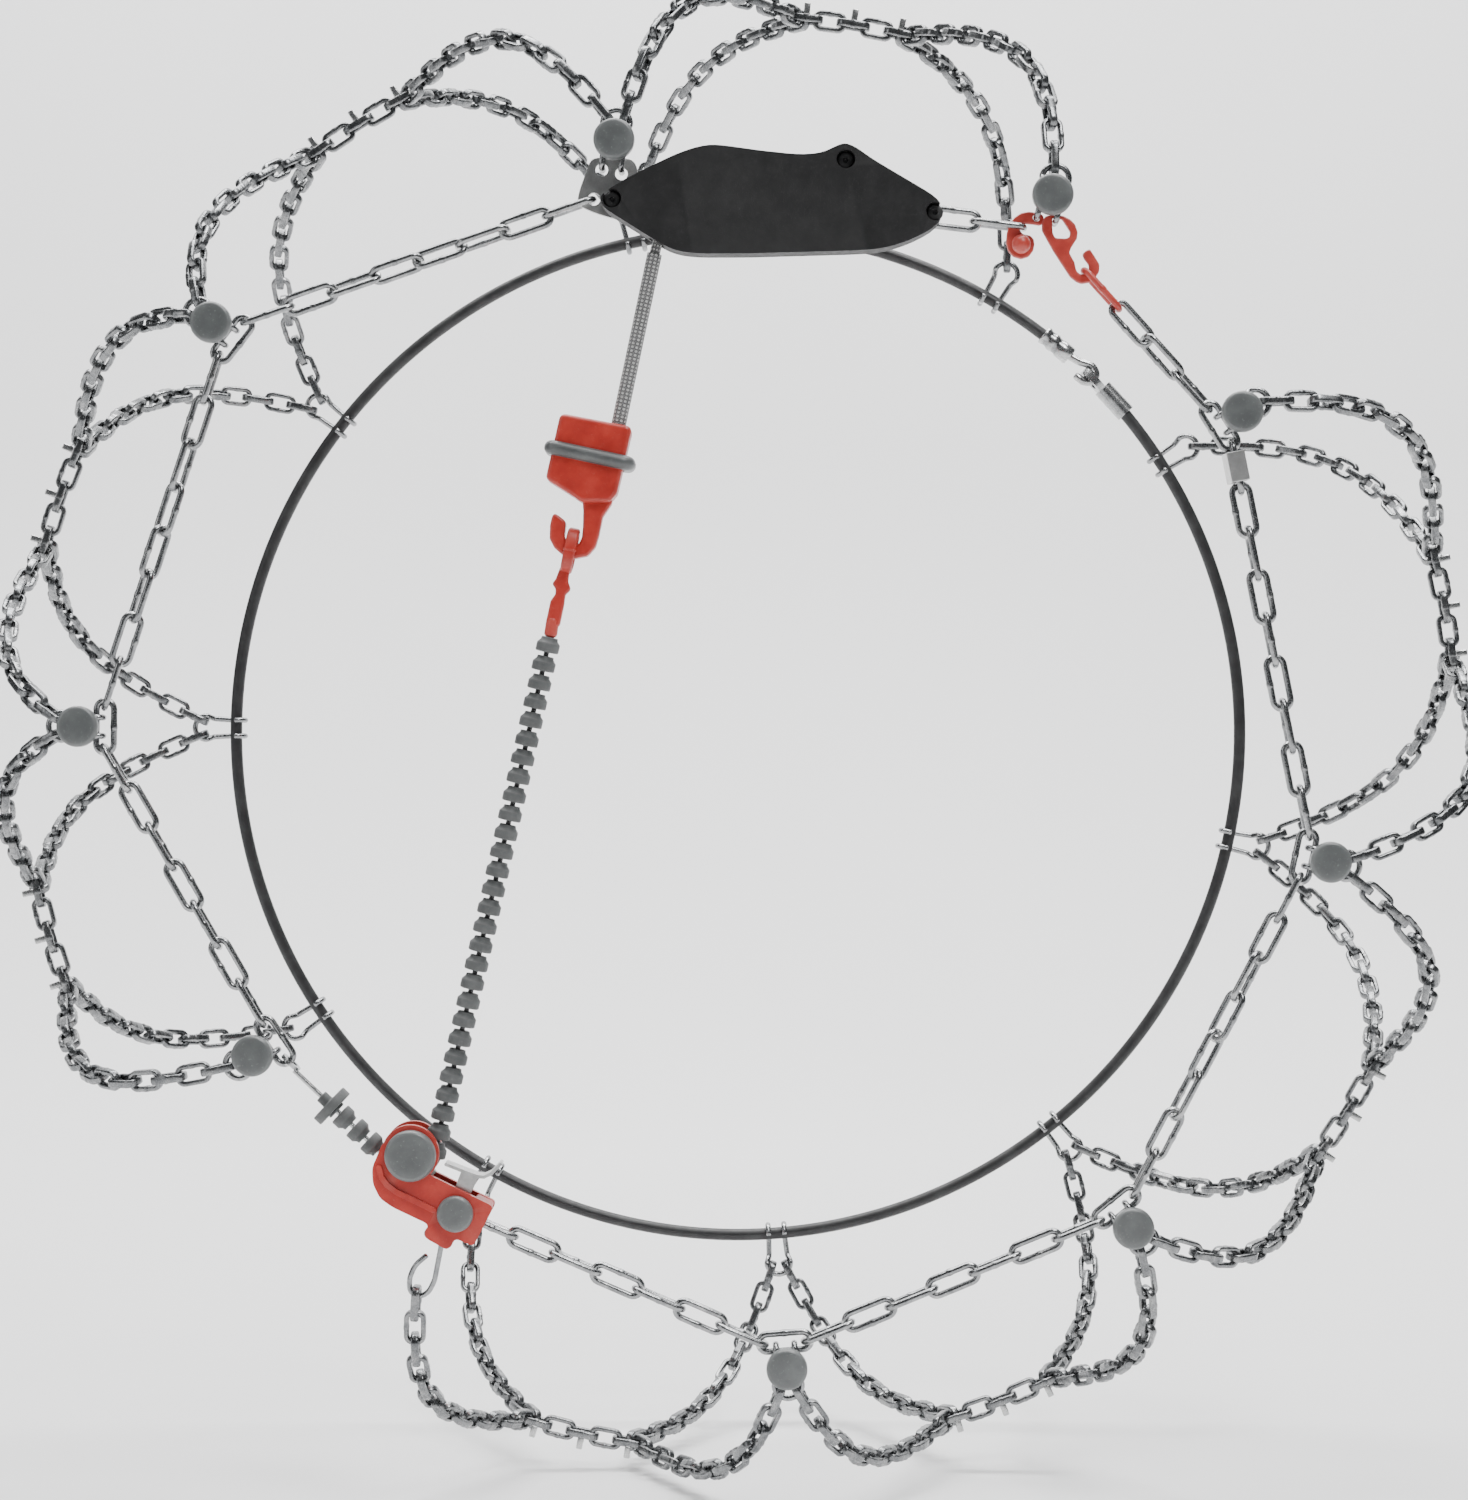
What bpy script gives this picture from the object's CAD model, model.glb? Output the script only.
# Self-tensioning snow chain, laid out as it sits on a tyre. Lengths in the helpers are millimetres.
import math

import bpy
import numpy as np
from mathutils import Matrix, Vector, geometry


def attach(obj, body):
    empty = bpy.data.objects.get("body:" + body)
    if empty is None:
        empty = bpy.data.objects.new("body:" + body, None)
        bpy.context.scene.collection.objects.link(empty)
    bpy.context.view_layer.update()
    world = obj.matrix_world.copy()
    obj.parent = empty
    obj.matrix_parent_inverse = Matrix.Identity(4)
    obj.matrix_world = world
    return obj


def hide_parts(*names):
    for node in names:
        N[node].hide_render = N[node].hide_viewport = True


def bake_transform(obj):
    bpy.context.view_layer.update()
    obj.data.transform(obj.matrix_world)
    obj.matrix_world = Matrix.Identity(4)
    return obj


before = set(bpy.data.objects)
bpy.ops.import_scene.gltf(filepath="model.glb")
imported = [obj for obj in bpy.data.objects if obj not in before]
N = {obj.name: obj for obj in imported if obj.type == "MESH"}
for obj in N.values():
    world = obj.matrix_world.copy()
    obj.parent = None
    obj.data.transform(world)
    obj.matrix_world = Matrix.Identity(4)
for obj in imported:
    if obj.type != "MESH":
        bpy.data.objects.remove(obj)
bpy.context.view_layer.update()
D = bpy.data
rad, deg, pi = math.radians, math.degrees, math.pi


def A(*v):
    return np.array(v[0] if len(v) == 1 else v, float)


def unit(v):
    v = A(v)
    return v / np.linalg.norm(v)


def dirv(a):
    return A(math.cos(rad(a)), 0, math.sin(rad(a)))


# ------------------------------------------------------------------ camera
CAM_DISTANCE = 1.621  # metres from the wheel axis plane
CAM_LENS = 76
FRAME_PX = 1500  # long side of the picture, the unit of the lens shift
cam = D.objects.new("camera", D.cameras.new("camera"))
bpy.context.scene.collection.objects.link(cam)
cam.location = (0, -CAM_DISTANCE, 0)
cam.rotation_euler = (pi / 2, 0, 0)
cam.data.lens = CAM_LENS
cam.data.sensor_width = 36
cam.data.shift_x = -4 / FRAME_PX
cam.data.shift_y = -17 / FRAME_PX
cam.data.clip_start = 0.05
bpy.context.scene.camera = cam


# ------------------------------------------------------------------ materials
class Nodes:
    def __init__(self, name):
        self.m = D.materials.new(name)
        self.m.use_nodes = True
        self.t = self.m.node_tree
        self.b = self.t.nodes["Principled BSDF"]
        self.co = self.t.nodes.new("ShaderNodeTexCoord").outputs["Object"]
        self.bump = None

    def node(self, kind, **vals):
        n = self.t.nodes.new(kind)
        for k, v in vals.items():
            if hasattr(n, k) and not k[0].isupper():
                setattr(n, k, v)
            else:
                n.inputs[k].default_value = v
        return n

    def link(self, a, b):
        self.t.links.new(a, b)

    def noise(self, scale, detail=3, rough=0.55, stretch=None, dist=0.0):
        co = self.co
        if stretch:
            mp = self.node("ShaderNodeMapping")
            mp.inputs["Scale"].default_value = stretch
            self.link(co, mp.inputs[0])
            co = mp.outputs[0]
        n = self.node("ShaderNodeTexNoise")
        n.inputs["Scale"].default_value = scale
        n.inputs["Detail"].default_value = detail
        n.inputs["Roughness"].default_value = rough
        n.inputs["Distortion"].default_value = dist
        self.link(co, n.inputs["Vector"])
        return n.outputs["Fac"]

    def ramp(self, src, *stops):
        r = self.node("ShaderNodeValToRGB")
        e = r.color_ramp.elements
        while len(e) < len(stops):
            e.new(0.5)
        for x, (p, c) in zip(e, stops):
            x.position = p
            x.color = (*c, 1) if len(c) == 3 else (c[0], c[0], c[0], 1)
        self.link(src, r.inputs[0])
        return r.outputs[0]

    def mix(self, f, a, b):
        m = self.node("ShaderNodeMix", data_type="RGBA")
        for v, i in ((f, 0), (a, 6), (b, 7)):
            if hasattr(v, "links"):
                self.link(v, m.inputs[i])
            else:
                m.inputs[i].default_value = v if i == 0 else (*v, 1)
        return m.outputs[2]

    def edge(self, lo=0.5, hi=0.56):
        g = self.node("ShaderNodeNewGeometry")
        return self.ramp(g.outputs["Pointiness"], (lo, (0,)), (hi, (1,)))

    def add_bump(self, src, dist, strength=1.0):
        n = self.node("ShaderNodeBump")
        n.inputs["Distance"].default_value = dist
        n.inputs["Strength"].default_value = strength
        self.link(src, n.inputs["Height"])
        if self.bump:
            self.link(self.bump, n.inputs["Normal"])
        self.bump = n.outputs[0]
        self.link(self.bump, self.b.inputs["Normal"])

    def color(self, s):
        self.link(s, self.b.inputs["Base Color"])

    def rough(self, src, lo, hi, a=0.3, z=0.7):
        m = self.node("ShaderNodeMapRange")
        m.inputs[1].default_value = a
        m.inputs[2].default_value = z
        m.inputs[3].default_value = lo
        m.inputs[4].default_value = hi
        self.link(src, m.inputs[0])
        self.link(m.outputs[0], self.b.inputs["Roughness"])


def metal(name, dark, mid, light, r0, r1, spangle=0.0, grain=1.0, wear=0.25):
    n = Nodes(name)
    n.b.inputs["Metallic"].default_value = 1.0
    big = n.noise(160, 4, 0.6)
    fine = n.noise(1500, 3, 0.6)
    c = n.ramp(big, (0.28, dark), (0.5, mid), (0.72, light))
    c = n.mix(n.ramp(fine, (0.35, (0,)), (0.75, (0.35,))), c, dark)
    if wear:
        c = n.mix(n.ramp(n.edge(), (0, (0,)), (1, (wear,))), c, (0.95, 0.95, 0.94))
    n.color(c)
    n.rough(fine, r0, r1)
    n.add_bump(n.noise(420, 3, 0.5), 0.00012, 0.5 * grain)
    n.add_bump(n.noise(2600, 2, 0.5), 0.00003, 0.6 * grain)
    if spangle:
        v = n.node("ShaderNodeTexVoronoi")
        v.inputs["Scale"].default_value = 700
        n.link(n.co, v.inputs["Vector"])
        n.add_bump(v.outputs["Distance"], 0.00004, spangle)
    return n.m


def plastic(name, dark, mid, light, r0, r1, grain=0.3, scale=1800, coat=0.0, wear=(0, (1, 1, 1)), spec=0.5):
    n = Nodes(name)
    n.b.inputs["Specular IOR Level"].default_value = spec
    if coat:
        n.b.inputs["Coat Weight"].default_value = coat
        n.b.inputs["Coat Roughness"].default_value = 0.25
    big = n.noise(90, 4, 0.6)
    fine = n.noise(scale, 2, 0.5)
    c = n.ramp(big, (0.3, dark), (0.5, mid), (0.74, light))
    if wear[0]:
        spots = n.noise(700, 4, 0.7)
        c = n.mix(n.ramp(spots, (0.60, (0,)), (0.74, (wear[0],))), c, wear[1])
        c = n.mix(n.ramp(n.edge(0.505, 0.56), (0, (0,)), (1, (wear[0],))), c, wear[1])
    n.color(c)
    n.rough(n.noise(300, 4, 0.65), r0, r1)
    n.add_bump(fine, 0.00006, grain)
    n.add_bump(n.noise(220, 3, 0.5), 0.00015, 0.25)
    return n.m


STEEL = metal("zinc_links", (0.13, 0.135, 0.14), (0.22, 0.225, 0.23), (0.34, 0.34, 0.34), 0.2, 0.36,
    wear=0.45)
GALV = metal("galvanised_wire", (0.2, 0.205, 0.21), (0.31, 0.315, 0.32), (0.45, 0.45, 0.45), 0.18, 0.32,
    spangle=0.4, wear=0.4)
SHEET = metal("sheet", (0.36, 0.36, 0.355), (0.48, 0.48, 0.475), (0.60, 0.60, 0.59), 0.3, 0.48)
CAP = plastic("cap_coat", (0.072, 0.078, 0.078), (0.090, 0.097, 0.097), (0.12, 0.128, 0.128), 0.3, 0.46, 0.35,
    1400, 0.15, wear=(0.4, (0.40, 0.41, 0.41)), spec=0.6)
REDC = plastic("red_coating", (0.36, 0.025, 0.018), (0.46, 0.04, 0.028), (0.56, 0.07, 0.05), 0.3, 0.5, 0.35,
    900, 0.2, wear=(0.2, (0.62, 0.2, 0.16)))
REDP = plastic("red_moulding", (0.36, 0.020, 0.013), (0.45, 0.029, 0.019), (0.53, 0.045, 0.031), 0.3, 0.46,
    0.3, 1300, 0.1, wear=(0.12, (0.7, 0.3, 0.25)), spec=0.35)
RING = plastic("ring_rubber", (0.062, 0.066, 0.066), (0.082, 0.087, 0.087), (0.11, 0.116, 0.116), 0.3, 0.48,
    0.4, 1500, 0.15, wear=(0.2, (0.3, 0.3, 0.3)))
RUBBER = plastic("rubber", (0.055, 0.06, 0.06), (0.085, 0.09, 0.09), (0.12, 0.125, 0.125), 0.45, 0.68, 0.5,
    1700, wear=(0.3, (0.2, 0.2, 0.2)), spec=0.4)
BLACK = plastic("black_grain", (0.008, 0.008, 0.0085), (0.012, 0.012, 0.0125), (0.018, 0.018, 0.0185), 0.5,
    0.68, 0.7, 1500, wear=(0.10, (0.10, 0.10, 0.10)), spec=0.28)
SCREW = plastic("screw_black", (0.008, 0.008, 0.009), (0.014, 0.014, 0.015), (0.03, 0.03, 0.03), 0.3, 0.5,
    0.3, 1500, wear=(0.3, (0.12, 0.12, 0.12)))
WHITE = plastic("nylon", (0.42, 0.42, 0.39), (0.52, 0.52, 0.49), (0.62, 0.62, 0.59), 0.4, 0.6, 0.3, 1200)
COAT = plastic("cable_coat", (0.012, 0.012, 0.013), (0.02, 0.02, 0.021), (0.035, 0.035, 0.036), 0.35, 0.55,
    0.4, 900)


def braid(name, base, dark, pale, per_turn, per_mm):
    """A braided sheath; the mesh's UV is (turns round the cord, mm along it)."""
    n = Nodes(name)
    uv = n.node("ShaderNodeTexCoord").outputs["UV"]
    s = n.node("ShaderNodeSeparateXYZ")
    n.link(uv, s.inputs[0])

    def m(op, a, b=0.0):
        k = n.node("ShaderNodeMath", operation=op)
        for v, i in ((a, 0), (b, 1)):
            if hasattr(v, "links"):
                n.link(v, k.inputs[i])
            else:
                k.inputs[i].default_value = v
        return k.outputs[0]

    u = m("MULTIPLY", s.outputs[0], per_turn)
    w = m("MULTIPLY", s.outputs[1], per_mm)
    p, q = m("ADD", u, w), m("SUBTRACT", u, w)
    sp = m("SINE", m("MULTIPLY", p, 2 * pi))
    sq = m("SINE", m("MULTIPLY", q, 2 * pi))
    h = m("ABSOLUTE", m("MULTIPLY", sp, sq))
    side = m("MULTIPLY", sp, sq)
    c = n.ramp(side, (0.0, dark), (0.08, base), (0.32, pale), (0.9, pale))
    low = n.ramp(m("MULTIPLY", side, -1.0), (0.05, dark), (0.4, (base[0] * 0.62,) * 3),
        (0.9, (base[0] * 0.7,) * 3))
    c = n.mix(n.ramp(side, (0.0, (0,)), (0.02, (1,))), low, c)
    c = n.mix(n.ramp(n.noise(900, 4, 0.6), (0.4, (0,)), (0.75, (0.35,))), c, dark)
    n.color(c)
    n.rough(n.noise(500, 3, 0.6), 0.5, 0.75)
    n.b.inputs["Sheen Weight"].default_value = 0.25
    n.add_bump(h, 0.0004, 0.8)
    n.add_bump(n.noise(3500, 2, 0.6), 0.00008, 0.5)
    return n.m


BRAID = braid("elastic_sheath", (0.24, 0.24, 0.24), (0.03, 0.03, 0.031), (0.50, 0.50, 0.49), 5, 0.27)
CORE = braid("core_braid", (0.08, 0.08, 0.08), (0.02, 0.02, 0.02), (0.15, 0.15, 0.15), 3, 0.5)


# ------------------------------------------------------------------ mesh kit
def even(o):
    """Flat faces keep their own normal, so only the rounded edges catch the light."""
    w = o.modifiers.new("even", "WEIGHTED_NORMAL")
    w.keep_sharp = True
    w.weight = 100


class Mesh:
    def __init__(self):
        self.v, self.f, self.uv, self.n = [], [], [], 0

    def add(self, v, faces, uv=None):
        """faces: list of arrays, each (k, 3) or (k, 4)."""
        v = np.asarray(v, float)
        for f in faces:
            if len(f):
                self.f.append(np.asarray(f, int) + self.n)
        self.v.append(v)
        self.uv.append(np.zeros((len(v), 2)) if uv is None else np.asarray(uv, float))
        self.n += len(v)
        return self

    def build(self, name, mat, node, body="net", sharp=38, blend=None, fix=False, flat=False):
        v = np.vstack(self.v) * 0.001
        me = D.meshes.new(name)
        loops = np.concatenate([f.ravel() for f in self.f])
        sizes = np.concatenate([np.full(len(f), f.shape[1]) for f in self.f])
        me.vertices.add(len(v))
        me.vertices.foreach_set("co", v.ravel())
        me.loops.add(len(loops))
        me.loops.foreach_set("vertex_index", loops)
        me.polygons.add(len(sizes))
        me.polygons.foreach_set("loop_start", np.concatenate([[0], np.cumsum(sizes)[:-1]]))
        uvs = np.vstack(self.uv)
        if uvs.any():
            layer = me.uv_layers.new(name="UVMap")
            layer.data.foreach_set("uv", uvs[loops].ravel())
        me.update(calc_edges=True)
        me.validate()
        if fix:
            import bmesh
            bm = bmesh.new()
            bm.from_mesh(me)
            bmesh.ops.recalc_face_normals(bm, faces=bm.faces)
            bm.to_mesh(me)
            bm.free()
        me.shade_smooth()
        me.set_sharp_from_angle(angle=rad(sharp))
        o = D.objects.new(name, me)
        bpy.context.scene.collection.objects.link(o)
        me.materials.append(mat)
        if flat:
            even(o)
        if node:
            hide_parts(*([node] if isinstance(node, str) else node))
        if blend:
            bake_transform(o)
        else:
            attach(o, body)
        return o


def grid(rows, cols, wrap_r=False, wrap_c=True):
    r = np.arange(rows if wrap_r else rows - 1)
    c = np.arange(cols if wrap_c else cols - 1)
    R, C = np.meshgrid(r, c, indexing="ij")
    a = R * cols + C
    b = R * cols + (C + 1) % cols
    d = ((R + 1) % rows) * cols + C
    e = ((R + 1) % rows) * cols + (C + 1) % cols
    return np.stack([a, b, e, d], -1).reshape(-1, 4)


def fillet(p, r, k=4, closed=False):
    """Corners of a polyline in 2-D or 3-D turned into short curves."""
    p = [A(q) for q in p]
    out, n = [], len(p)
    for i in range(n):
        if not closed and i in (0, n - 1):
            out.append(p[i])
            continue
        a, b, c = p[i - 1], p[i], p[(i + 1) % n]
        la, lc = np.linalg.norm(a - b), np.linalg.norm(c - b)
        turn = math.acos(max(-1, min(1, float(np.dot(unit(b - a), unit(c - b))))))
        if turn < 0.02:
            out.append(b)
            continue
        d = min(r * math.tan(turn / 2) * 1.3 + 0.05, 0.48 * la, 0.48 * lc)
        s, e = b + (a - b) / la * d, b + (c - b) / lc * d
        for t in np.linspace(0, 1, k + 1):
            out.append(s * (1 - t) ** 2 + 2 * b * t * (1 - t) + e * t * t)
    return np.array(out)


def spaced(p, step):
    out = [p[0]]
    for a, b in zip(p[:-1], p[1:]):
        m = max(1, int(round(np.linalg.norm(b - a) / step)))
        out += [a + (b - a) * t / m for t in range(1, m + 1)]
    return np.array(out)


def tube(M, path, d, sides=16, caps="round", closed=False, uv=False, squash=(1, 1), up=None):
    """A round bar along a path, with domed ends."""
    p = np.array(path, float)
    n = len(p)
    if closed:
        t = np.array([unit(p[(i + 1) % n] - p[i - 1]) for i in range(n)])
    else:
        t = np.array([unit(p[min(i + 1, n - 1)] - p[max(i - 1, 0)]) for i in range(n)])
    ref = A(up) if up is not None else (A(0, 1, 0) if abs(t[0][1]) < 0.9 else A(1, 0, 0))
    x = unit(ref - t[0] * np.dot(ref, t[0]))
    rows = []
    xs = []
    for i in range(n):
        if i:
            if up is not None:
                x = ref
            x = unit(x - t[i] * np.dot(x, t[i]))
        xs.append(x)
    ring = []
    r = d / 2
    m = sides + 1 if uv else sides
    ang = np.linspace(0, 2 * pi, m) if uv else np.arange(sides) * 2 * pi / sides
    ca, sa = np.cos(ang)[:, None], np.sin(ang)[:, None]
    length = np.concatenate([[0], np.cumsum(np.linalg.norm(np.diff(p, axis=0), axis=1))])
    uvs = []

    def row(c, i, k):
        y = np.cross(t[i], xs[i])
        rows.append(c + r * k * (xs[i] * ca * squash[0] + y * sa * squash[1]))
        uvs.append(np.stack([ang / (2 * pi), np.full(m, length[i])], 1))

    if not closed and caps == "round":
        for q in (80, 55, 30):
            row(p[0] - t[0] * r * math.sin(rad(q)) * 0.6, 0, math.cos(rad(q)))
    for i in range(n):
        row(p[i], i, 1)
    if not closed and caps == "round":
        for q in (30, 55, 80):
            row(p[-1] + t[-1] * r * math.sin(rad(q)) * 0.6, n - 1, math.cos(rad(q)))
    v = np.vstack(rows)
    g = grid(len(rows), m, closed, not uv)[:, ::-1]
    faces = [g]
    if not closed:
        k = len(v)
        v = np.vstack([v, rows[0].mean(0), rows[-1].mean(0)])
        uvs.append(np.zeros((2, 2)))
        a = np.arange(m - 1 if uv else m)
        b = (a + 1) % m
        e = (len(rows) - 1) * m
        faces += [np.stack([np.full(len(a), k), a, b], 1),
            np.stack([np.full(len(a), k + 1), e + b, e + a], 1)]
    M.add(v, faces, np.vstack(uvs) if uv else None)
    return M


def lathe(M, c, axis, prof, n=48, fix=True):
    """prof: (radius, height along axis from c), from one end on the axis to the other."""
    c, w = A(c), unit(axis)
    x = unit(np.cross(w, A(0.12, 0.33, 0.94)))
    y = np.cross(w, x)
    a = np.arange(n) * 2 * pi / n
    rows = [c + w * h + r * (np.cos(a)[:, None] * x + np.sin(a)[:, None] * y) for r, h in prof if r > 1e-6]
    v = np.vstack(rows)
    faces = [grid(len(rows), n)]
    for end, rev in ((0, False), (-1, True)):
        r, h = prof[end]
        if r <= 1e-6:
            k = len(v)
            v = np.vstack([v, c + w * h])
            i = np.arange(n) + (0 if end == 0 else (len(rows) - 1) * n)
            j = (np.arange(n) + 1) % n + (0 if end == 0 else (len(rows) - 1) * n)
            tri = np.stack([np.full(n, k), j, i], 1)
            faces.append(tri[:, ::-1] if rev else tri)
    M.add(v, faces)
    return M


def arc(cx, cy, r, a0, a1, k=5):
    return [(cx + r * math.cos(rad(a)), cy + r * math.sin(rad(a))) for a in np.linspace(a0, a1, k)]


def place(v, c, ex, ey, ez):
    return A(c) + np.asarray(v) @ np.array([ex, ey, ez])


def rolled(c, t, nn, roll):
    ex = unit(t)
    ey = unit(np.cross(nn, ex))
    ez = np.cross(ex, ey)
    s, q = math.sin(rad(roll)), math.cos(rad(roll))
    return c, ex, ey * q + ez * s, ez * q - ey * s


def slab(M, pts, y0, y1, r=0.6, holes=(), fil=0.6, r2=None, k=3, hole_r=0.25):
    """A plate drawn in X and Z between two Y values, with its edges rounded by r in front and r2 behind."""
    r2 = r if r2 is None else r2
    loops = [(fillet(pts, fil, 4, True), 1)] + [(fillet(h, fil, 4,
        True) if len(h) > 3 else np.array([(h[0] + h[2] * math.cos(a),
        h[1] + h[2] * math.sin(a)) for a in np.linspace(0, 2 * pi, 33)[:-1]]), -1) for h in holes]
    front, back, base = [], [], []
    allv, faces, off = [], [], 0
    for p, sgn in loops:
        keep = [i for i in range(len(p)) if np.linalg.norm(p[i] - p[i - 1]) > 1e-4]
        p = p[keep]
        e = np.roll(p, -1, 0) - p
        area = 0.5 * np.sum(p[:, 0] * np.roll(p[:, 1], -1) - np.roll(p[:, 0], -1) * p[:, 1])
        if area * sgn < 0:
            p = p[::-1]
            e = np.roll(p, -1, 0) - p
        e /= np.linalg.norm(e, axis=1)[:, None]
        nrm = np.stack([e[:, 1], -e[:, 0]], 1)
        m = nrm + np.roll(nrm, 1, 0)
        m /= np.linalg.norm(m, axis=1)[:, None]
        m /= np.maximum(0.6, np.sum(m * nrm, 1))[:, None]
        ra, rb = (r, r2) if sgn > 0 else (min(hole_r, r), min(hole_r, r2))
        prof = [(ra * (1 - math.sin(q)), y0 + ra * (1 - math.cos(q))) for q in np.linspace(0, pi / 2, k + 1)]
        prof += [(rb * (1 - math.sin(q)), y1 - rb * (1 - math.cos(q))) for q in np.linspace(pi / 2, 0, k + 1)]
        rings = [np.stack([(p - m * o)[:, 0], np.full(len(p), y), (p - m * o)[:, 1]], 1) for o, y in prof]
        v = np.vstack(rings)
        faces.append(grid(len(rings), len(p)) + off)
        front.append((rings[0], off))
        back.append((rings[-1], off + (len(rings) - 1) * len(p)))
        allv.append(v)
        off += len(v)
    for group, rev in ((front, False), (back, True)):
        idx = np.concatenate([np.arange(len(g[0])) + g[1] for g in group])
        tri = geometry.tessellate_polygon([[Vector((q[0], q[2], 0)) for q in g[0]] for g in group])
        tri = idx[np.array(tri)]
        faces.append(tri)
    M.add(np.vstack(allv), faces)
    return M


def block(M, c, ex, ey, ez, lo, hi, r=0.45):
    """A box with rounded edges in a local frame."""
    lo, hi = A(lo), A(hi)
    k = np.array([(1 - math.sin(q), 1 - math.cos(q)) for q in np.linspace(0, pi / 2, 4)]) * r

    def rr(o, z):
        pts = []
        x0, y0, x1, y1 = lo[0] + o, lo[1] + o, hi[0] - o, hi[1] - o
        q = max(r - o, 0.05)
        for cx, cy, a in ((x1 - q, y0 + q, -90), (x1 - q, y1 - q, 0), (x0 + q, y1 - q, 90),
            (x0 + q, y0 + q, 180)):
            pts += [(cx + q * math.cos(rad(a + t)), cy + q * math.sin(rad(a + t)), z) for t in (0, 30, 60,
                90)]
        return pts

    rows = [rr(o, lo[2] + z) for o, z in k] + [rr(o, hi[2] - z) for o, z in k[::-1]]
    v = np.array(rows).reshape(-1, 3)
    n = 16
    m = len(v)
    v = np.vstack([v, [(lo[0] + hi[0]) / 2, (lo[1] + hi[1]) / 2, lo[2]],
        [(lo[0] + hi[0]) / 2, (lo[1] + hi[1]) / 2, hi[2]]])
    a = np.arange(n)
    b = (a + 1) % n
    e = (len(rows) - 1) * n
    M.add(place(v, c, ex, ey, ez), [grid(len(rows), n), np.stack([np.full(n, m), b, a], 1),
        np.stack([np.full(n, m + 1), e + a, e + b], 1)])


# ------------------------------------------------------------------ sizes shared with the CAD
TREAD_R, HALF_W, WALL_R = 367, 121, 285
SIDE_D, SIDE_L, SIDE_W = 3.2, 28, 11.5
LINK_L, LINK_W, LINK_A, LINK_T, CLEAT_H = 17.5, 10.5, 2.4, 3.8, 5.5
CABLE_R, CABLE_D = 276, 6.5
PINS = [None, (101.8, 286), (59.7, 294.2), (32.5, 282), (-12.3, 286), (-51.4, 299), (-85.6, 301),
    (213.6, 275), (179.43, 312), (142.08, 316), (240.5, 300)]
SPANS = [("a", 2, 1), ("b", 1, 9), ("c", 9, 8), ("d", 8, 7), ("e", 10, 6), ("f", 6, 5), ("g", 5, 4),
    ("h", 4, 3)]

# rings that become links
def rounded_path(L, W, r, weld):
    """Centre line of a link in its own plane with outward normals and a thickness factor for its weld."""
    out = []
    hx, hy = L / 2 - r, W / 2 - r
    for cx, cy, a in ((hx, hy, 0), (-hx, hy, 90), (-hx, -hy, 180), (hx, -hy, 270)):
        for t in np.linspace(0, 90, 6):
            c, s = math.cos(rad(a + t)), math.sin(rad(a + t))
            out.append((cx + r * c, cy + r * s, c, s, 1.0))
        if a == 0:
            for x, k in ((weld * 1.5, 1.0), (weld, 1.05), (weld * 0.45, 1.16), (0, 1.12),
                (-weld * 0.45, 1.16), (-weld, 1.05), (-weld * 1.5, 1.0)):
                out.append((x, hy + r, 0, 1, k))
        if a == 180:
            out += [(x, -hy - r, 0, -1, 1.0) for x in (-1.0, 1.0)]
    return np.array(out)


def ring_template(path, sec):
    rows = []
    for x, y, nx, ny, k in path:
        rows.append(np.stack([x + sec[:, 0] * nx * k, y + sec[:, 0] * ny * k, sec[:, 1] * k], 1))
    return np.vstack(rows), grid(len(path), len(sec), True, True)


def round_rect(w, h, r):
    out = []
    for cx, cy, a in ((w / 2 - r, h / 2 - r, 0), (-w / 2 + r, h / 2 - r, 90), (-w / 2 + r, -h / 2 + r, 180),
        (w / 2 - r, -h / 2 + r, 270)):
        out += [(cx + r * math.cos(rad(a + t)), cy + r * math.sin(rad(a + t))) for t in (0, 30, 60, 90)]
    return np.array(out)


def round_sec(d, n=14):
    a = np.arange(n) * 2 * pi / n
    return np.stack([np.cos(a), np.sin(a)], 1) * d / 2


T_LINK = ring_template(rounded_path(LINK_L - LINK_A, LINK_W - LINK_A, 3.1, 1.1),
    round_rect(LINK_A - 0.02, LINK_T - 0.04, 0.85))
S_LINK = ring_template(rounded_path(SIDE_L - SIDE_D, SIDE_W - SIDE_D, (SIDE_W - SIDE_D) / 2, 1.2),
    round_sec(SIDE_D - 0.02))


def put(M, tpl, fr):
    M.add(place(tpl[0], *fr), [tpl[1]])


# ------------------------------------------------------------------ tread chains
def rho(p):
    return 1 / ((abs(math.cos(p)) / HALF_W) ** 3 + (abs(math.sin(p)) / (TREAD_R - WALL_R)) ** 3) ** (1 / 3)


def mer(p):
    return A(-rho(rad(p)) * math.cos(rad(p)), WALL_R + rho(rad(p)) * math.sin(rad(p)))


MER = np.array([mer(i) for i in range(91)])
MER_S = np.concatenate([[0], np.cumsum(np.linalg.norm(np.diff(MER, axis=0), axis=1))])
ARC_END = MER_S[-1]


def surf(a, s, side):
    m = mer(np.interp(s, MER_S, np.arange(91)))
    return A(m[1] * math.cos(rad(a)), side * m[0], m[1] * math.sin(rad(a)))


def surf_n(a, s, side):
    m = mer(np.interp(s, MER_S, np.arange(91)))
    g = unit((side * np.sign(m[0]) * m[0] ** 2 / HALF_W ** 3,
        max(0, m[1] - WALL_R) ** 2 / (TREAD_R - WALL_R) ** 3))
    return A(g[1] * math.cos(rad(a)), g[0], g[1] * math.sin(rad(a)))


def pin_y(i):
    return -124 if i == 10 else -HALF_W * (1 - (max(0,
        PINS[i][1] + 8 - WALL_R) / (TREAD_R - WALL_R)) ** 3) ** (1 / 3)


def pin_c(i):
    return PINS[i][1] * dirv(PINS[i][0]) + A(0, pin_y(i), 0)


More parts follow.
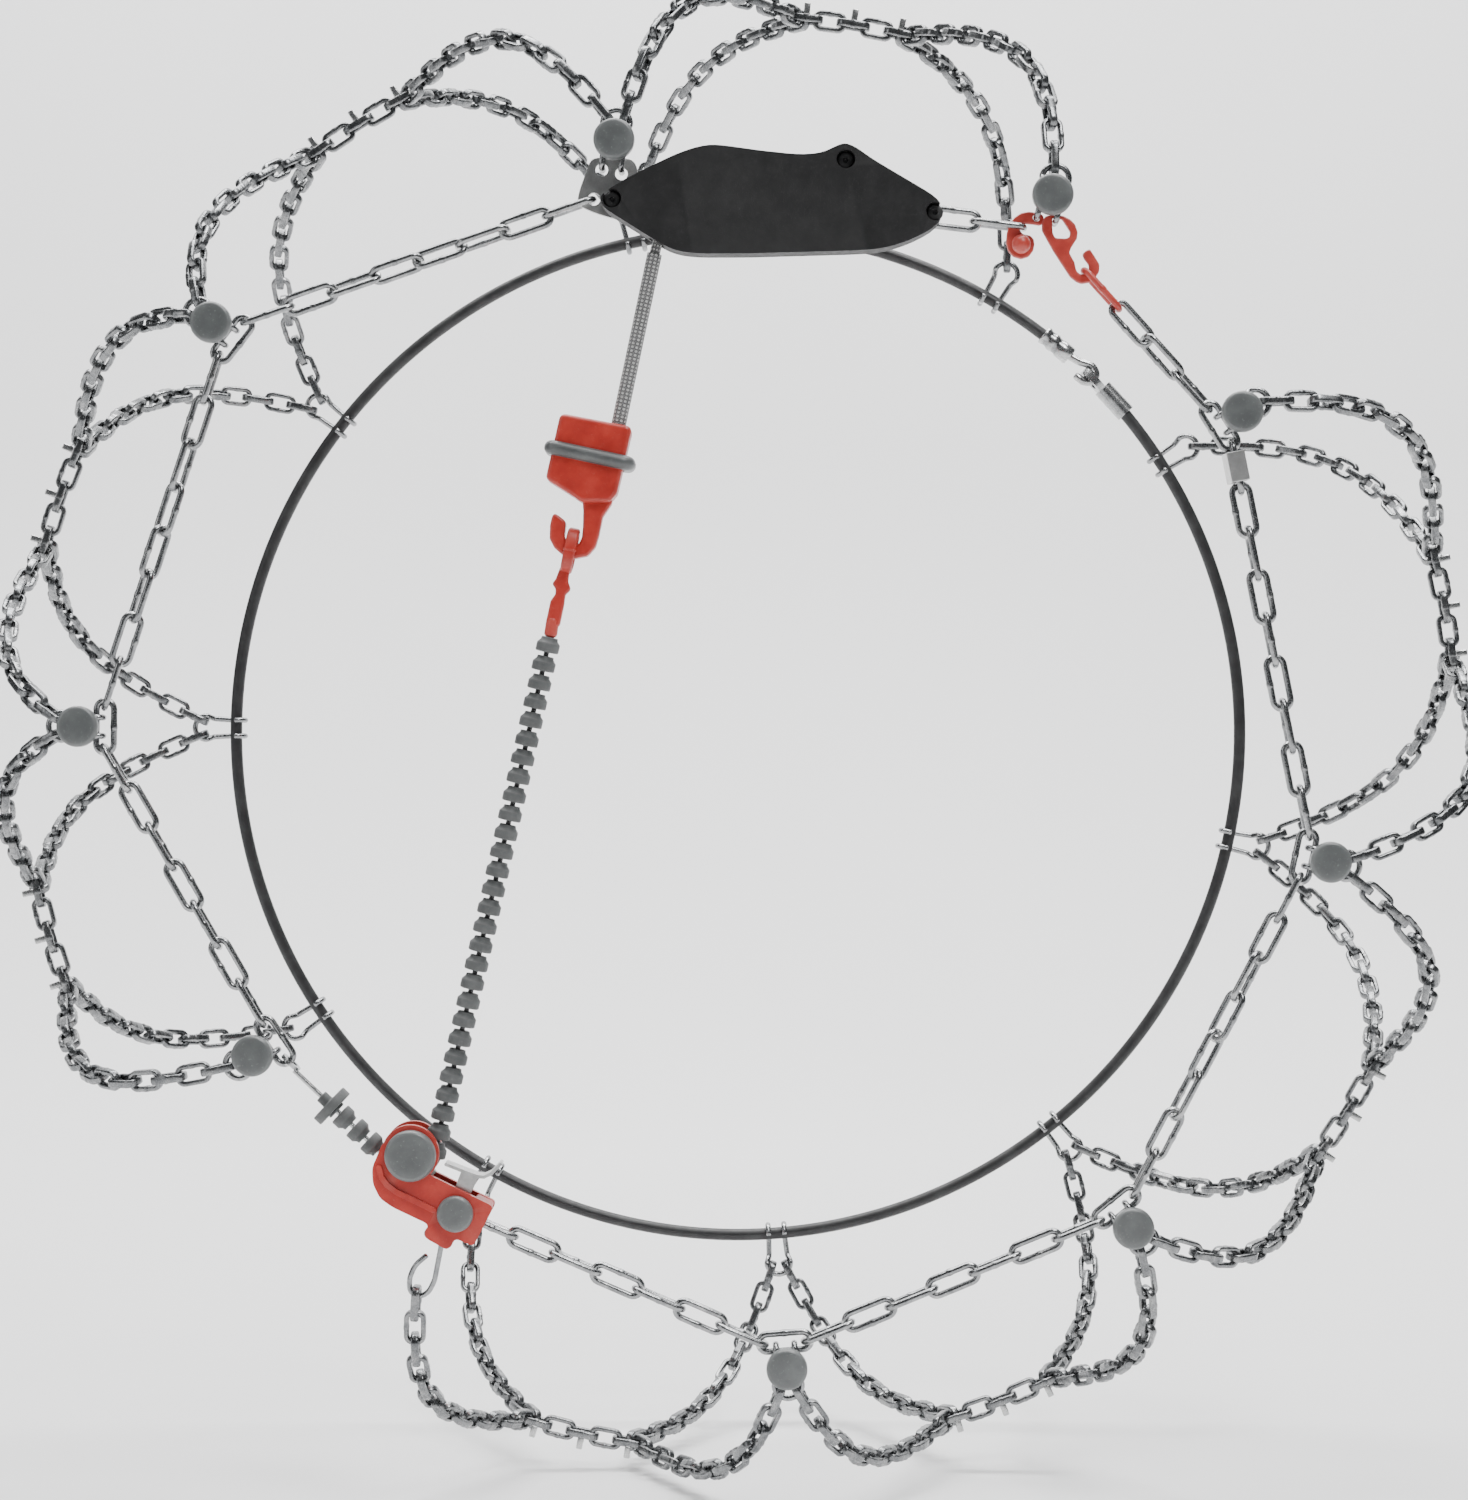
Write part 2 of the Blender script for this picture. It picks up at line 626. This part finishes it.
def node_c(i):
    return (PINS[i][1] - 11.6) * dirv(PINS[i][0]) + A(0, pin_y(i), 0)


def loop_a(i):
    return 84 if i == 1 else 77 if i == 2 else PINS[i][0]


def loop_pt(c, i, g, a):
    single = i in (2, 3, 7, 10)
    u = dirv(a)
    v = A(-u[2], 0, u[0])
    return c + u * (12.2 if single else 10.35) + v * g * (1.4 if single else 3.6)


def full(a, ref):
    return a + 360 if a < ref - 180 else a - 360 if a > ref + 180 else a


INNER_Y = HALF_W + 0.5


def inner_c(i):
    return (CABLE_R + 7.45) * dirv(PINS[i][0]) + A(0, INNER_Y, 0)


def run(M, q0, a1, s1, side):
    q0 = A(q0)
    a0 = full(deg(math.atan2(q0[2], q0[0])), a1)
    s0 = np.interp(math.hypot(q0[0], q0[2]), MER[:, 1], MER_S)
    b = surf(a0, s0, side)

    def at(t):
        return surf(a0 + (a1 - a0) * t, s0 + (s1 - s0) * t, side) + (q0 - b) * max(0, 1 - 4 * t) ** 2

    pts = np.array([at(i / 60) for i in range(61)])
    cum = np.concatenate([[0], np.cumsum(np.linalg.norm(np.diff(pts, axis=0), axis=1))])
    ts = np.arange(61) / 60
    n = math.ceil(cum[-1] / 12.33)
    p = cum[-1] / n
    extra = 0 if n % 2 else 90 / (n - 1)
    for k in range(n):
        ta, tb, tm = (np.interp((k + q) * p, cum, ts) for q in (0.08, 0.92, 0.5))
        pa, pb = at(ta), at(tb)
        put(M, T_LINK, rolled((pa + pb) / 2, pb - pa, surf_n(a0 + (a1 - a0) * tm, s0 + (s1 - s0) * tm, side),
            90 + (n - 1 - k) * (90 + extra)))


STEP_A = deg(12.15 / TREAD_R)


def tread_chain(j):
    name, i0, i1 = SPANS[j]
    b0 = PINS[i0][0]
    b1 = full(PINS[i1][0], b0)
    am = (b0 + b1) / 2
    M = Mesh()
    for k in range(-2, 3):
        a = am + k * STEP_A
        t, n = A(-math.sin(rad(a)), 0, math.cos(rad(a))), dirv(a)
        fr = rolled(TREAD_R * n, t, n, 0 if k % 2 == 0 else 90)
        put(M, T_LINK, fr)
        if k % 2 == 0:
            s = -1 if unit(np.cross(n, t))[1] > 0 else 1
            if k == 0:
                block(M, *fr, (-1.6, -LINK_W / 2, LINK_T / 2 - 0.6), (1.6, LINK_W / 2, LINK_T / 2 + CLEAT_H),
                    0.6)
                block(M, *fr, (-1.6, -LINK_W / 2 + LINK_A - 0.4, -LINK_T / 2 + 1.2),
                    (1.6, LINK_W / 2 - LINK_A + 0.4, LINK_T / 2), 0.3)
            else:
                c = s * (LINK_W / 2 - LINK_A / 2 + 0.2)
                w = (LINK_A + 0.9) / 2
                block(M, *fr, (-1.6, c - w, LINK_T / 2 - 0.6), (1.6, c + w, LINK_T / 2 + CLEAT_H), 0.6)
    mm = deg(1 / TREAD_R)
    for i, g in ((i0, 1), (i1, -1)):
        q = A(-152.2, -121, -264.2) if i == 10 else loop_pt(pin_c(i), i, g, loop_a(i))
        if i == 9:
            q = q + 0.4 * dirv(loop_a(9)) - A(0, 0.4, 0)
        if i == 1 and g < 0:
            q = q + 0.6 * dirv(loop_a(1)) + 0.4 * dirv(loop_a(1) + 90)
        run(M, q, am - g * (2 * STEP_A + 4.8 * mm), ARC_END - 1.5, 1)
        run(M, loop_pt(inner_c(i), i, g, PINS[i][0]), am - g * (2 * STEP_A + 0.6 * mm), ARC_END - 2, -1)
    M.build("links_" + name, STEEL, "tread_chain_" + name, sharp=50)


for j in range(8):
    tread_chain(j)


# ------------------------------------------------------------------ side chain
SIDE_IN = SIDE_L / 2 - SIDE_D
FACE = A(0, -1, 0)


def tangent(i):
    return A(-math.sin(rad(PINS[i][0])), 0, math.cos(rad(PINS[i][0])))


def tip(i, q):
    t = tangent(i)
    return node_c(i) + t * np.sign(np.dot(t, q - node_c(i))) * (SIDE_IN - 0.35)


def ring_piece(name, a, b, n, a0, r1, end):
    M = Mesh()
    v = unit(b - a)
    p = (np.linalg.norm(b - a) - a0 - SIDE_IN) / (n - 1)
    for k in range(n):
        put(M, S_LINK, rolled(a + v * (a0 + p * k), v, FACE, 90 + (r1 - 90) * k / n))
    put(M, S_LINK, rolled(node_c(end), tangent(end), FACE, 0))
    M.build("ring_" + name, GALV, "side_chain_" + name, sharp=60)


for name, i, j, n, r1 in (("98", 9, 8, 8, 900), ("87", 8, 7, 7, 720), ("65", 6, 5, 7, 720),
    ("54", 5, 4, 8, 900), ("43", 4, 3, 9, 900)):
    ring_piece(name, tip(i, node_c(j)), tip(j, node_c(i)), n, SIDE_IN, r1, j)
q = A(-68.5, -115.6, 253.6)
ring_piece("19", q, tip(9, q), 8, 12.5, 900, 9)
q = A(-116.3, -124, -233.2)
ring_piece("r6", q, tip(6, q), 7, 0, 720, 6)
RED_C = A(172.1, -121, 209.9)
to_3 = tip(3, RED_C) - RED_C
v3 = unit(to_3)
p3 = (np.linalg.norm(to_3) - SIDE_IN) / 3
M = Mesh()
for k, roll in ((1, 165), (2, 235), (3, 297)):
    put(M, S_LINK, rolled(RED_C + v3 * p3 * k, v3, FACE, roll))
M.build("ring_h3", GALV, "side_chain_h3", sharp=60)
M = Mesh()
put(M, S_LINK, rolled(RED_C, v3, FACE, 90))
M.build("red_ring", REDC, "red_link", sharp=60)
M = Mesh()
for c, roll in (((102.1, -118.4, 243.9), 0), ((123.4, -118.1, 241.2), 90)):
    put(M, S_LINK, rolled(A(c), A(0.9935, 0, -0.12), A(0, -1, 0), roll))
M.build("cover_rings", GALV, "cover_links", sharp=60)


# ------------------------------------------------------------------ grip points
def at_pin(pts, c, a, out):
    u = dirv(a)
    return place(pts, c, u, np.cross(A(out), u), A(out))


def loop_path(bar_r, legs):
    up = bar_r + 1.5 + 0.12
    sides = {}
    for s in (-1, 1):
        if legs == 0:
            curl = [(-7.45 - up * math.sin(rad(t)), s * 4.35, up * math.cos(rad(t))) for t in np.linspace(175,
                0, 14)]
            sides[s] = curl + [(-4, s * 4.45, up), (5.6, s * 5, up * 0.93)]
        else:
            sides[s] = [(-legs, s * 4.6, up - 9.6), (-legs, s * 4.6, up - 1.2), (-legs + 1.2, s * 4.6, up),
                (5.6, s * 5, up * 0.93)]
    arcp = [(8.7 + 6.5 * math.cos(rad(t)), 6.5 * math.sin(rad(t)), 0) for t in np.linspace(-90, 90, 15)]
    return fillet(sides[-1] + arcp + sides[1][::-1], 2.0, 4)


M = Mesh()
for i in range(1, 10):
    legs = 12.9 if i == 1 else 11 if i == 2 else 0
    tube(M, at_pin(loop_path(SIDE_D / 2, legs), pin_c(i), loop_a(i), (0, -1, 0)), 3.0, 14)
M.build("grip_loops", GALV, "node_staples", sharp=60)
M = Mesh()
for i in range(1, 11):
    tube(M, at_pin(loop_path(CABLE_D / 2, 0), inner_c(i), PINS[i][0], (0, 1, 0)), 3.0, 14)
M.build("cable_loops", GALV, "inner_clips", sharp=60)
Z0 = 3.22 + 1.5 + 0.02
for i in range(1, 10):
    prof = [(0, 0.2), (4.3, 0.2), (4.7, 0.6), (4.7, 1.3), (4.4, 1.6), (2.5, 1.7), (2.5, Z0), (9.1, Z0),
        (9.6, Z0 + 0.25)]
    prof += [(9.75, Z0 + 0.8), (9.75, Z0 + 3.6)] + arc(7.75, Z0 + 3.9, 2.0, 8, 84, 7) + [(5.5, Z0 + 6.02),
        (2.6, Z0 + 6.08), (0, Z0 + 6.1)]
    M = Mesh()
    lathe(M, pin_c(i), (0, -1, 0), prof, 56)
    M.build("grip_cap_%d" % i, CAP, "node_cap_%d" % i, sharp=45, fix=True)

# ------------------------------------------------------------------ pieces made from the CAD solids, with their edges rounded
import bmesh


def rounded_copy(node, name, mat, width, body="net", angle=32, seg=3, sharp=30, dissolve=0.5):
    me = D.meshes.new(name)
    bm = bmesh.new()
    bm.from_mesh(N[node].data)
    bmesh.ops.remove_doubles(bm, verts=bm.verts, dist=2e-6)
    bmesh.ops.dissolve_limit(bm, angle_limit=rad(dissolve), verts=bm.verts, edges=bm.edges)
    bmesh.ops.recalc_face_normals(bm, faces=bm.faces)
    if width:
        edges = [e for e in bm.edges if len(e.link_faces) == 2 and e.calc_face_angle(0) > rad(angle)]
        bmesh.ops.bevel(bm, geom=edges, offset=width * 0.001, offset_type="OFFSET", segments=seg, profile=0.5,
            affect="EDGES", clamp_overlap=True)
    bmesh.ops.triangulate(bm, faces=[f for f in bm.faces if len(f.verts) > 4])
    bm.to_mesh(me)
    bm.free()
    me.shade_smooth()
    me.set_sharp_from_angle(angle=rad(sharp))
    me.materials.clear()
    me.materials.append(mat)
    o = D.objects.new(name, me)
    bpy.context.scene.collection.objects.link(o)
    even(o)
    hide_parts(node)
    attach(o, body)
    return o


for node, name, mat, width, body in (
    ("cover_front", "cover_shell", BLACK, 0.9, "net"), ("cover_back", "cover_base", BLACK, 0.3, "net"),
    ("bracket_plate", "bracket", SHEET, 0.35, "net"), ("cord_anchor", "anchor_post", BLACK, 0.4, "net"),
    ("cord_roller_1", "roller_a", WHITE, 0.25, "roller_1"), ("cord_roller_2", "roller_b", WHITE, 0.25,
        "roller_2"),
    ("ratchet_front", "case_front", REDP, 0.9, "net"), ("ratchet_back", "case_back", REDP, 0.7, "net"),
    ("ratchet_pins", "case_pins", GALV, 0.3, "net"), ("ratchet_wheel", "bead_wheel", WHITE, 0.15, "wheel"),
    ("release_lever", "lever", SHEET, 0.25, "lever"),
    ("chain_clip", "link_sleeve", SHEET, 0.4, "net"),
    ("inner_eye", "cable_eye", GALV, 0.5, "net"), ("stop_disc", "stop", RUBBER, 0.8, "net"),
    ("feed_rod", "rod_eye", GALV, 0.3, "net"),
):
    rounded_copy(node, name, mat, width, body)

# screws with a cross recess, deep in the cover's holes
M = Mesh()
for x, z in ((-59.3, 251.2), (50.7, 269.7), (92.8, 245.2)):
    lathe(M, (x, 0, z), (0, -1, 0), [(0, 113.4), (1.3, 113.4), (1.6, 113.9), (1.6, 127.55), (3.7, 127.55),
        (3.9, 127.8), (3.9, 128.6)] + arc(2.9, 128.6, 1.0, 5, 80, 5) + [(1.3, 129.6), (1.1, 128.4),
        (0, 128.2)], 40)
M.build("cover_bolts", SCREW, "cover_screws", fix=True)

# ------------------------------------------------------------------ tension line
BEAD_PITCH = 9.06
LINE_START = 12.81  # from the tangent point on the wheel to bead 0
FEED_START = 16.1
N_LINE = 27  # bead 0 and up; bead -1 lies in the mouth of the case
WHEEL = A(-153.8, -124, -198.5)
UP = A(0.2185, 0, 0.97583)
WR = BEAD_PITCH * 7 / (2 * pi)
TANG = WHEEL + A(WR * UP[2], 0, -WR * UP[0])
FDIR = A(0.727, 0, -0.6866)
FTAN = WHEEL - A(WR * 0.6866, 0, WR * 0.727)
BEAD = [(1.3, -3.5), (3.6, -3.62), (4.9, -3.5)] + arc(4.75, -2.75, 0.8, -75, 0,
    4) + [(5.55, -0.4)] + arc(4.55, 0.3, 1.0, 0, 55, 4) + [(4.1, 2.3), (3.95, 3.1)] + arc(3.5, 3.2, 0.42, 0,
    90, 4) + [(1.3, 3.66)]


def bead_row(name, mat, node, body, centres, axis):
    M = Mesh()
    for c in centres:
        lathe(M, c, axis, BEAD, 36)
        # bore, so that the cord shows between the beads
        lathe(M, c, axis, [(1.3, 3.66), (1.3, -3.5)], 36)
    M.build(name, mat, node, body, sharp=45, fix=True)


bead_row("line_beads", RUBBER, "tension_beads", "line",
    [TANG + UP * (LINE_START + BEAD_PITCH * k) for k in range(-1, N_LINE)], UP)
bead_row("feed_side_beads", RUBBER, "feed_beads", "net",
    [FTAN - FDIR * (FEED_START + BEAD_PITCH * k) for k in range(3)], FDIR)
M = Mesh()
tube(M, spaced([TANG + UP * 0.6, TANG + UP * (LINE_START + BEAD_PITCH * (N_LINE - 1) + 10.5)], 3), 2.5, 12,
    caps="flat", uv=True)
M.build("line_core", CORE, "tension_core", "line", sharp=80)

# elastic cord: free run, then inside the cover
CY = -126.5
cord_path = fillet([(-57.5, CY, 140), (-39.35, CY, 226), (-36.4, CY, 240)], 12, 6)
M = Mesh()
tube(M, spaced(cord_path[:-1], 3.0), 7.0, 28, caps="flat", uv=True)
inner = [(-39.35, CY, 226), (-36.1, CY, 239.5), (-34.4, CY, 245.7), (-30, CY, 249.2), (-24, CY, 249.8),
    (78, CY, 251.2), (82.2, CY, 250.1), (84.3, CY, 246.5), (83.4, CY, 241.6), (79.5, CY, 239),
    (74, CY, 238.7), (4.6, CY, 238.6)]
tube(M, spaced(fillet(inner, 4, 4), 3.0), 4.9, 20, caps="flat", uv=True)
M.build("pull_cord", BRAID, "elastic_cord", sharp=80,
    blend=("line", "net", (-0.0557, CY / 1000, 0.146), (-0.0394, CY / 1000, 0.224)))

# clip, strap and hooks: moulded and forged pieces with full edges
LY = -124
M = Mesh()
slab(M, [(-83.6, 150.6), (-49.6, 144.2), (-57, 112.6), (-60.5, 108.6), (-73.5, 108.6), (-79.5, 112.6),
    (-90.6, 119.6)], LY - 8.2, LY + 8.2, 2.0, fil=2.4, k=5)
slab(M, [(-73.6, 113), (-73, 104.6), (-73.2, 97), (-73.6, 92.4), (-75.2, 89), (-78.2, 87.9), (-80.8, 89.6),
    (-81.9, 93), (-81, 99.8), (-87.2, 104.6), (-88.7, 98), (-88.9, 91.6), (-86.6, 87.2),
      (-82.8, 84), (-77, 82.2), (-71, 83.4), (-67.2, 87.6), (-65.6, 93), (-63.8, 101.8), (-59.6, 108), (-58.6,
          113)], LY - 4.6, LY + 4.6, 1.5, fil=2.4, k=5)
M.build("clip_body", REDP, "tension_clip", "line", sharp=50, fix=True, flat=True)
M = Mesh()
LOW = (TANG[0] + UP[0] * 258, TANG[2] + UP[2] * 258)
slab(M, [(-83.3, 80), (-84.9, 76), (-86.2, 72.6), (-87.9, 70.6), (-86.2, 68), (-86.3, 65.6), (-88.6, 62.4),
    (LOW[0] - 3.5, LOW[1]), (LOW[0] + 3.2, LOW[1] - 1.4), (-82.1, 60.6), (-81.5, 65.2), (-78.9, 67.6),
    (-80.2, 71.6), (-79.6, 76), (-78.6, 80)], LY - 2.4, LY + 2.4, 1.3, fil=1.6, k=4)
sd = unit((2.3, 0, 11))
fr = rolled(A(-79.3, LY, 86.2), sd, A(0.98, 0, -0.2), 0)
put(M, ring_template(rounded_path(22 - 2.9, 15.6 - 2.9, (15.6 - 2.9) / 2 - 0.05, 0.5),
    round_rect(2.7, 5.5, 1.15)), fr)
tube(M, [A(LOW[0], LY, LOW[1] + 2), TANG + UP * (LINE_START + BEAD_PITCH * (N_LINE - 1) + 5.2)], 6.3, 20)
M.build("strap", REDP, "pull_strap", "line", sharp=50, fix=True, flat=True)
M = Mesh()
slab(M, [(140.9, 247), (137.9, 247.4), (134.2, 246.7), (131.2, 244.6), (129.3, 242.2), (127.6, 237.6),
    (127.1, 232.8), (128.2, 228.6), (130.6, 225.9), (134.2, 224.8), (137.9, 225.9), (140, 228.6),
    (140.7, 231.6),
      (140.4, 234.2), (138.8, 236), (135.2, 236.7), (133.7, 238.4), (133.7, 240), (135.2, 241.7), (140.2,
          241.2), (143.6, 240.6), (145.2, 242.6), (145, 245.2), (143.2,
          246.9)], -119.4, -116.6, 0.9, holes=[(141.48, 244.32, 1.7)], fil=1.8)
lathe(M, (134.2, -120.6, 231.6), (0, -1, 0), [(0, -4.6)] + arc(0, 0, 4.6, -80, 80, 17) + [(0, 4.6)], 36)
M.build("hook_ball", REDC, "ball_hook", sharp=50, fix=True, flat=True)
M = Mesh()
slab(M, [(143.9, 242.2), (143.9, 237.8), (149.3, 228), (157.2, 215.9), (160.2, 213.5), (162.6, 212.6),
    (166.3, 213.2), (169.3, 215.6), (171, 218.3), (171.2, 221.9), (169.3, 225), (166.6, 229.2),
    (164.8, 228.4), (162.9, 226.8),
    (163.9, 224.3), (166, 221.6), (166.2, 219.2), (164.6, 217.2), (161.8, 217.2), (160.2, 219), (159.3,
        223), (156.8, 227.4), (157.8, 229.8), (160.5, 234), (160.9, 237.2), (159.6, 240.9), (157.2,
        243.3), (154, 244.9), (149.3, 245.4), (145.6, 244.8)],
     -122.6, -119.6, 1.0, holes=[[(148.8, 239.6), (148.8, 243.8), (150.6, 244.1), (153.6, 243),
         (155.8, 239.4), (157.4, 237), (156.9, 234.8), (155.4, 234.1), (150, 234.3),
         (149, 236.8)]], fil=1.8, k=4, hole_r=0.7)
M.build("hook_closing", REDC, "closing_hook", sharp=50, fix=True, flat=True)

# rubber ring round the clip
ring = [A(*q) for q in ((-87.9, -132.2, 134.5), (-51.8, -132.2, 126.8), (-51.8, -115.8, 126.8),
    (-87.9, -115.8, 134.5))]
M = Mesh()
tube(M, spaced(fillet(ring, 2.6, 6, True), 2.0), 7.0, 20, closed=True)
M.build("clip_band", RING, "clip_ring", "line", sharp=70)

# caps on the ratchet
M = Mesh()
lathe(M, WHEEL, (0, -1, 0), [(0, 9.42), (11.6, 9.42), (12.0, 9.6), (12.1, 10.0), (12.1, 12.0)] + arc(9.7,
    12.0, 2.4, 5, 84, 8) + [(6.5, 14.4), (3, 14.42), (0, 14.42)], 72)
M.build("big_cap", CAP, "wheel_cap", sharp=45, fix=True)
M = Mesh()
lathe(M, A(-132.8, -124, -225.8), (0, -1, 0), [(0, 9.42), (8.2, 9.42), (8.5, 9.6), (8.55, 9.9),
    (8.55, 11.4)] + arc(6.55, 11.4, 2.0, 5, 84, 8) + [(4.5, 13.4), (2, 13.42), (0, 13.42)], 60)
M.build("small_cap", CAP, "pivot_cap", sharp=45, fix=True)
M = Mesh()
helix = [(-132.8 + 3 * math.cos(t), -124 - 2.6 + 5.2 * t / (10 * pi),
    -225.8 + 3 * math.sin(t)) for t in np.linspace(0, 10 * pi, 100)]
tube(M, helix, 1.0, 8)
M.build("return_spring", GALV, "lever_spring", sharp=70)

# bent wire hooks
hook = [(-140.6, -124, -233.5), (-140.4, -124, -243), (-143.6, -122.5, -259), (-146.6, -121.4, -265),
    (-151.2, -121, -267.2), (-155.4, -121, -264.6), (-155.8, -121, -258.5), (-153, -121.5, -252),
    (-147.6, -122, -247.4)]
M = Mesh()
tube(M, fillet(hook, 9, 5), 2.6, 16)
M.build("chain_hook", GALV, "ratchet_hook", sharp=70)

# ------------------------------------------------------------------ inner ring
M = Mesh()
circ = [CABLE_R * dirv(a) + A(0, INNER_Y, 0) for a in np.linspace(49.2, 49.2 + 353.6, 361)]
tube(M, circ, CABLE_D, 16, caps="flat")
M.build("cable", COAT, "inner_cable", sharp=70)
a = 49.2
c, t, n = CABLE_R * dirv(a) + A(0, INNER_Y, 0), A(math.sin(rad(a)), 0, -math.cos(rad(a))), dirv(a)
M = Mesh()
tube(M, fillet([c + t * 1, c + t * 9 + n * 1.5, c + t * 15.5 + n * 4.5, c + t * 20.5 + n * 2.4,
    c + t * 21.5 - n * 2.2, c + t * 17.8 - n * 5.6, c + t * 12.6 - n * 5.6], 6, 5), 4.4, 18)
lathe(M, c, t, [(3.35, -16), (4.9, -16), (5.2, -15.6), (5.25, -14.6), (4.6, -13), (4.6, -11.5), (5.2, -10),
    (5.2, -8.4), (4.6, -7), (4.6, -5.4), (5.25, -4), (5.25, 2.2), (4.6, 3), (0, 3)], 32)
M.build("cable_hook", GALV, "inner_hook", sharp=50, fix=True)

# ------------------------------------------------------------------ floor, backdrop and light
floor_z = -0.3765
st = Mesh()
prof = [(-2600, floor_z * 1000), (1400, floor_z * 1000)] + [(1400 + 700 * math.sin(q),
    floor_z * 1000 + 700 - 700 * math.cos(q)) for q in np.linspace(0, pi / 2, 14)[1:]] + [(2100, 3200)]
v = [(x, y, z) for y, z in prof for x in (-4000, 4000)]
st.add(v, [np.array([(2 * i, 2 * i + 1, 2 * i + 3, 2 * i + 2) for i in range(len(prof) - 1)])])
me = D.meshes.new("studio")
me.from_pydata([tuple(np.array(q) * 0.001) for q in v], [], [tuple(int(x) for x in f) for f in st.f[0]])
me.shade_smooth()
studio = D.objects.new("studio", me)
bpy.context.scene.collection.objects.link(studio)
pale = Nodes("studio_paper")
pale.color(pale.ramp(pale.noise(1.5, 2), (0.3, (0.86, 0.86, 0.862)), (0.7, (0.89, 0.89, 0.892))))
pale.b.inputs["Roughness"].default_value = 0.9
me.materials.append(pale.m)


def area(name, loc, target, size, power, color=(1, 1, 1)):
    l = D.lights.new(name, "AREA")
    l.shape = "RECTANGLE"
    l.size, l.size_y = size
    l.energy = power
    l.color = color
    o = D.objects.new(name, l)
    bpy.context.scene.collection.objects.link(o)
    o.location = loc
    o.rotation_euler = (Vector(target) - Vector(loc)).to_track_quat("-Z", "Y").to_euler()
    return o


area("key", (1.0, -1.7, 2.2), (0, 0, 0), (0.8, 0.8), 47)
area("fill", (-2.3, -1.5, 0.9), (0, 0, 0), (1.2, 1.6), 12)
area("top", (0, -0.35, 2.3), (0, 0, 0), (2.0, 1.0), 37)
area("paper", (0, 0.7, 2.7), (0, 2.1, 0.1), (3.6, 0.8), 190)
world = D.worlds.new("soft")
bpy.context.scene.world = world
world.use_nodes = True
bg = world.node_tree.nodes["Background"]
bg.inputs[0].default_value = (0.5, 0.52, 0.54, 1)
bg.inputs[1].default_value = 0.22
